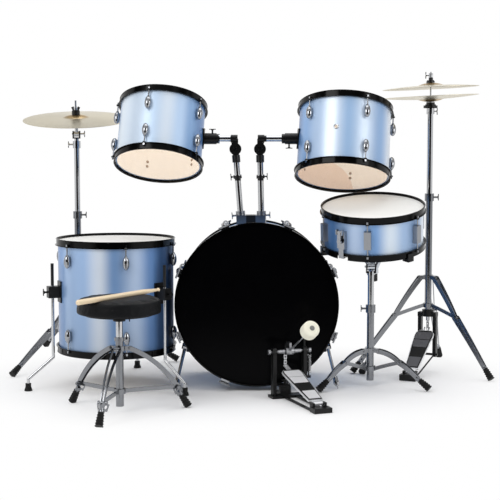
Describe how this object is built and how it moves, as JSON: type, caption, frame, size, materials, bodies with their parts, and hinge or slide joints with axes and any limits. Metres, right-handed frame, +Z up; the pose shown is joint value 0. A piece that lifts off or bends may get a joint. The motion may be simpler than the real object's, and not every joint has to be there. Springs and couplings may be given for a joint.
{
  "type": "acoustic drum kit",
  "caption": "Drum kit with bass drum, two mounted toms, floor tom, snare on a stand, crash and hi-hat cymbals, bass pedal, throne and sticks.",
  "frame": {"origin": "middle of the kit's footprint, on the floor", "axes": "+Z up, -Y towards the side that the front bass head, the pedal and the throne are on, +X towards the hi-hat stand"},
  "size_m": [1.7697, 1.5035, 1.118],
  "materials": {
    "blue_wrap": "satin metallic light blue wrap",
    "black_hoop": "gloss black",
    "white_head": "coated film",
    "black_head": "gloss black film",
    "chrome_steel": "polished",
    "cymbal_bronze": "brushed",
    "black_rubber": "moulded",
    "black_metal": "powder coated",
    "black_vinyl": "grained vinyl",
    "stick_wood": "bare maple",
    "pedal_plate": "cast"
  },
  "bodies": {
    "kit_base": {"bass_shell": "blue_wrap", "bass_hoops": "black_hoop", "bass_heads": "black_head", "bass_lugs": "chrome_steel", "bass_claws": "chrome_steel", "bass_spur_brackets": "black_metal", "tom_holder_base": "chrome_steel", "floor_tom_legs": "chrome_steel", "snare_stand_base": "chrome_steel", "hihat_stand_base": "chrome_steel", "hihat_pedal_frame": "black_metal", "crash_stand_base": "chrome_steel", "throne_base": "chrome_steel", "pedal_frame": "black_metal", "stand_feet": "black_rubber"},
    "spur_left": {"spur_left": "chrome_steel"},
    "spur_right": {"spur_right": "chrome_steel"},
    "tom_post_left": {"tom_post_left": "chrome_steel"},
    "tom_post_right": {"tom_post_right": "chrome_steel"},
    "tom_arm_left": {"tom_arm_left": "chrome_steel"},
    "tom_arm_right": {"tom_arm_right": "chrome_steel"},
    "left_tom": {"left_tom_shell": "blue_wrap", "left_tom_hoops": "black_hoop", "left_tom_heads": "white_head", "left_tom_lugs": "chrome_steel", "left_tom_bracket": "black_metal"},
    "right_tom": {"right_tom_shell": "blue_wrap", "right_tom_hoops": "black_hoop", "right_tom_heads": "white_head", "right_tom_lugs": "chrome_steel", "right_tom_bracket": "black_metal"},
    "floor_tom": {"floor_tom_shell": "blue_wrap", "floor_tom_hoops": "black_hoop", "floor_tom_heads": "white_head", "floor_tom_lugs": "chrome_steel", "floor_tom_leg_brackets": "black_metal"},
    "snare_tube": {"snare_stand_tube": "chrome_steel"},
    "snare_drum": {"snare_basket": "chrome_steel", "snare_shell": "blue_wrap", "snare_hoops": "black_hoop", "snare_heads": "white_head", "snare_lugs": "chrome_steel", "snare_strainer": "chrome_steel"},
    "strainer_lever": {"snare_lever": "chrome_steel"},
    "hihat_tube": {"hihat_upper_tube": "chrome_steel", "hihat_bottom_cymbal": "cymbal_bronze"},
    "hihat_footboard": {"hihat_footboard": "pedal_plate"},
    "hihat_rod": {"hihat_pull_rod": "chrome_steel"},
    "hihat_clutch": {"hihat_clutch": "chrome_steel", "hihat_top_cymbal": "cymbal_bronze"},
    "crash_middle": {"crash_middle_tube": "chrome_steel"},
    "crash_top": {"crash_top_tube": "chrome_steel"},
    "crash_rod": {"crash_rod": "chrome_steel"},
    "crash_cymbal": {"crash_cymbal": "cymbal_bronze"},
    "throne_post": {"throne_post": "chrome_steel"},
    "throne_seat": {"throne_seat_socket": "black_metal", "throne_seat": "black_vinyl", "drumsticks": "stick_wood"},
    "pedal_footboard": {"pedal_footboard": "pedal_plate"},
    "pedal_beater": {"pedal_beater": "chrome_steel"}
  },
  "joints": [
    {"name": "spur_left_fold", "type": "hinge", "parent": "kit_base", "child": "spur_left", "pos_m": [-0.23101, -0.0384, 0.13363], "axis": [0.9748, 0, -0.2231], "range_deg": [0, 125]},
    {"name": "spur_right_fold", "type": "hinge", "parent": "kit_base", "child": "spur_right", "pos_m": [0.27781, -0.0384, 0.13363], "axis": [0.9748, 0, 0.2231], "range_deg": [0, 125]},
    {"name": "left_post_height", "type": "slide", "parent": "kit_base", "child": "tom_post_left", "axis": [-0.0785, 0, 0.9969], "range_m": [-0.06, 0.06]},
    {"name": "right_post_height", "type": "slide", "parent": "kit_base", "child": "tom_post_right", "axis": [-0.0227, 0, 0.9997], "range_m": [-0.015, 0.02]},
    {"name": "left_arm_tilt", "type": "hinge", "parent": "tom_post_left", "child": "tom_arm_left", "pos_m": [-0.05223, 0.0666, 0.8356], "axis": [0, 1, 0], "range_deg": [-8, 10]},
    {"name": "right_arm_tilt", "type": "hinge", "parent": "tom_post_right", "child": "tom_arm_right", "pos_m": [0.03632, 0.0666, 0.8356], "axis": [0, 1, 0], "range_deg": [-2, 2]},
    {"name": "left_tom_turn", "type": "hinge", "parent": "tom_arm_left", "child": "left_tom", "pos_m": [-0.05223, 0.0666, 0.8726], "axis": [1, 0, 0], "range_deg": [-15, 20]},
    {"name": "right_tom_turn", "type": "hinge", "parent": "tom_arm_right", "child": "right_tom", "pos_m": [0.03632, 0.0666, 0.8726], "axis": [1, 0, 0], "range_deg": [-4, 20]},
    {"name": "floor_tom_height", "type": "slide", "parent": "kit_base", "child": "floor_tom", "axis": [0, 0, 1], "range_m": [-0.06, 0.06]},
    {"name": "snare_height", "type": "slide", "parent": "kit_base", "child": "snare_tube", "axis": [0, 0, 1], "range_m": [-0.004, 0.012]},
    {"name": "snare_tilt", "type": "hinge", "parent": "snare_tube", "child": "snare_drum", "pos_m": [0.4264, -0.0834, 0.425], "axis": [0.9994, 0, 0.0349], "range_deg": [-12, 2]},
    {"name": "strainer_lever_throw", "type": "hinge", "parent": "snare_drum", "child": "strainer_lever", "pos_m": [0.30512, -0.22026, 0.55724], "axis": [-0.7588, 0.6429, 0.1044], "range_deg": [0, 80]},
    {"name": "hihat_height", "type": "slide", "parent": "kit_base", "child": "hihat_tube", "axis": [0, 0, 1], "range_m": [-0.02, 0.025]},
    {"name": "hihat_footboard_press", "type": "hinge", "parent": "kit_base", "child": "hihat_footboard", "pos_m": [0.58398, 0.03323, 0.026], "axis": [-0.9018, 0.4321, 0], "range_deg": [0, 5], "stiffness_Nm_per_rad": 25, "springref_deg": -20.05},
    {"name": "hihat_rod_pull", "type": "slide", "parent": "kit_base", "child": "hihat_rod", "axis": [0, 0, -1], "range_m": [0, 0.0175]},
    {"name": "hihat_clutch_slide", "type": "slide", "parent": "hihat_rod", "child": "hihat_clutch", "axis": [0, 0, 1], "range_m": [-0.015, 0.05]},
    {"name": "crash_middle_height", "type": "slide", "parent": "kit_base", "child": "crash_middle", "axis": [0, 0, 1], "range_m": [-0.15, 0.15]},
    {"name": "crash_top_height", "type": "slide", "parent": "crash_middle", "child": "crash_top", "axis": [0, 0, 1], "range_m": [-0.005, 0.15]},
    {"name": "crash_tilter", "type": "hinge", "parent": "crash_top", "child": "crash_rod", "pos_m": [-0.6696, 0.4016, 0.889], "axis": [1, 0, 0], "range_deg": [-30, 30]},
    {"name": "crash_cymbal_turn", "type": "hinge", "parent": "crash_rod", "child": "crash_cymbal", "pos_m": [-0.6696, 0.4016, 0.889], "axis": [0, -0.1702, 0.9854], "continuous": true},
    {"name": "throne_height", "type": "slide", "parent": "kit_base", "child": "throne_post", "axis": [0, 0, 1], "range_m": [-0.045, 0.1]},
    {"name": "throne_seat_turn", "type": "hinge", "parent": "throne_post", "child": "throne_seat", "pos_m": [-0.4176, -0.5154, 0.32], "axis": [0, 0, 1], "continuous": true},
    {"name": "pedal_footboard_press", "type": "hinge", "parent": "kit_base", "child": "pedal_footboard", "pos_m": [0.21941, -0.49446, 0.024], "axis": [-0.9336, -0.3584, 0], "range_deg": [0, 7], "stiffness_Nm_per_rad": 15, "springref_deg": -11.46},
    {"name": "pedal_beater_swing", "type": "hinge", "parent": "kit_base", "child": "pedal_beater", "pos_m": [0.1334, -0.2704, 0.156], "axis": [-0.9336, -0.3584, 0], "range_deg": [0, 59.6]}
  ],
  "couplings": [
    {"joint": "hihat_rod_pull", "follows": "hihat_footboard_press", "m_per_rad": 0.2},
    {"joint": "pedal_beater_swing", "follows": "pedal_footboard_press", "ratio": 8.5}
  ]
}
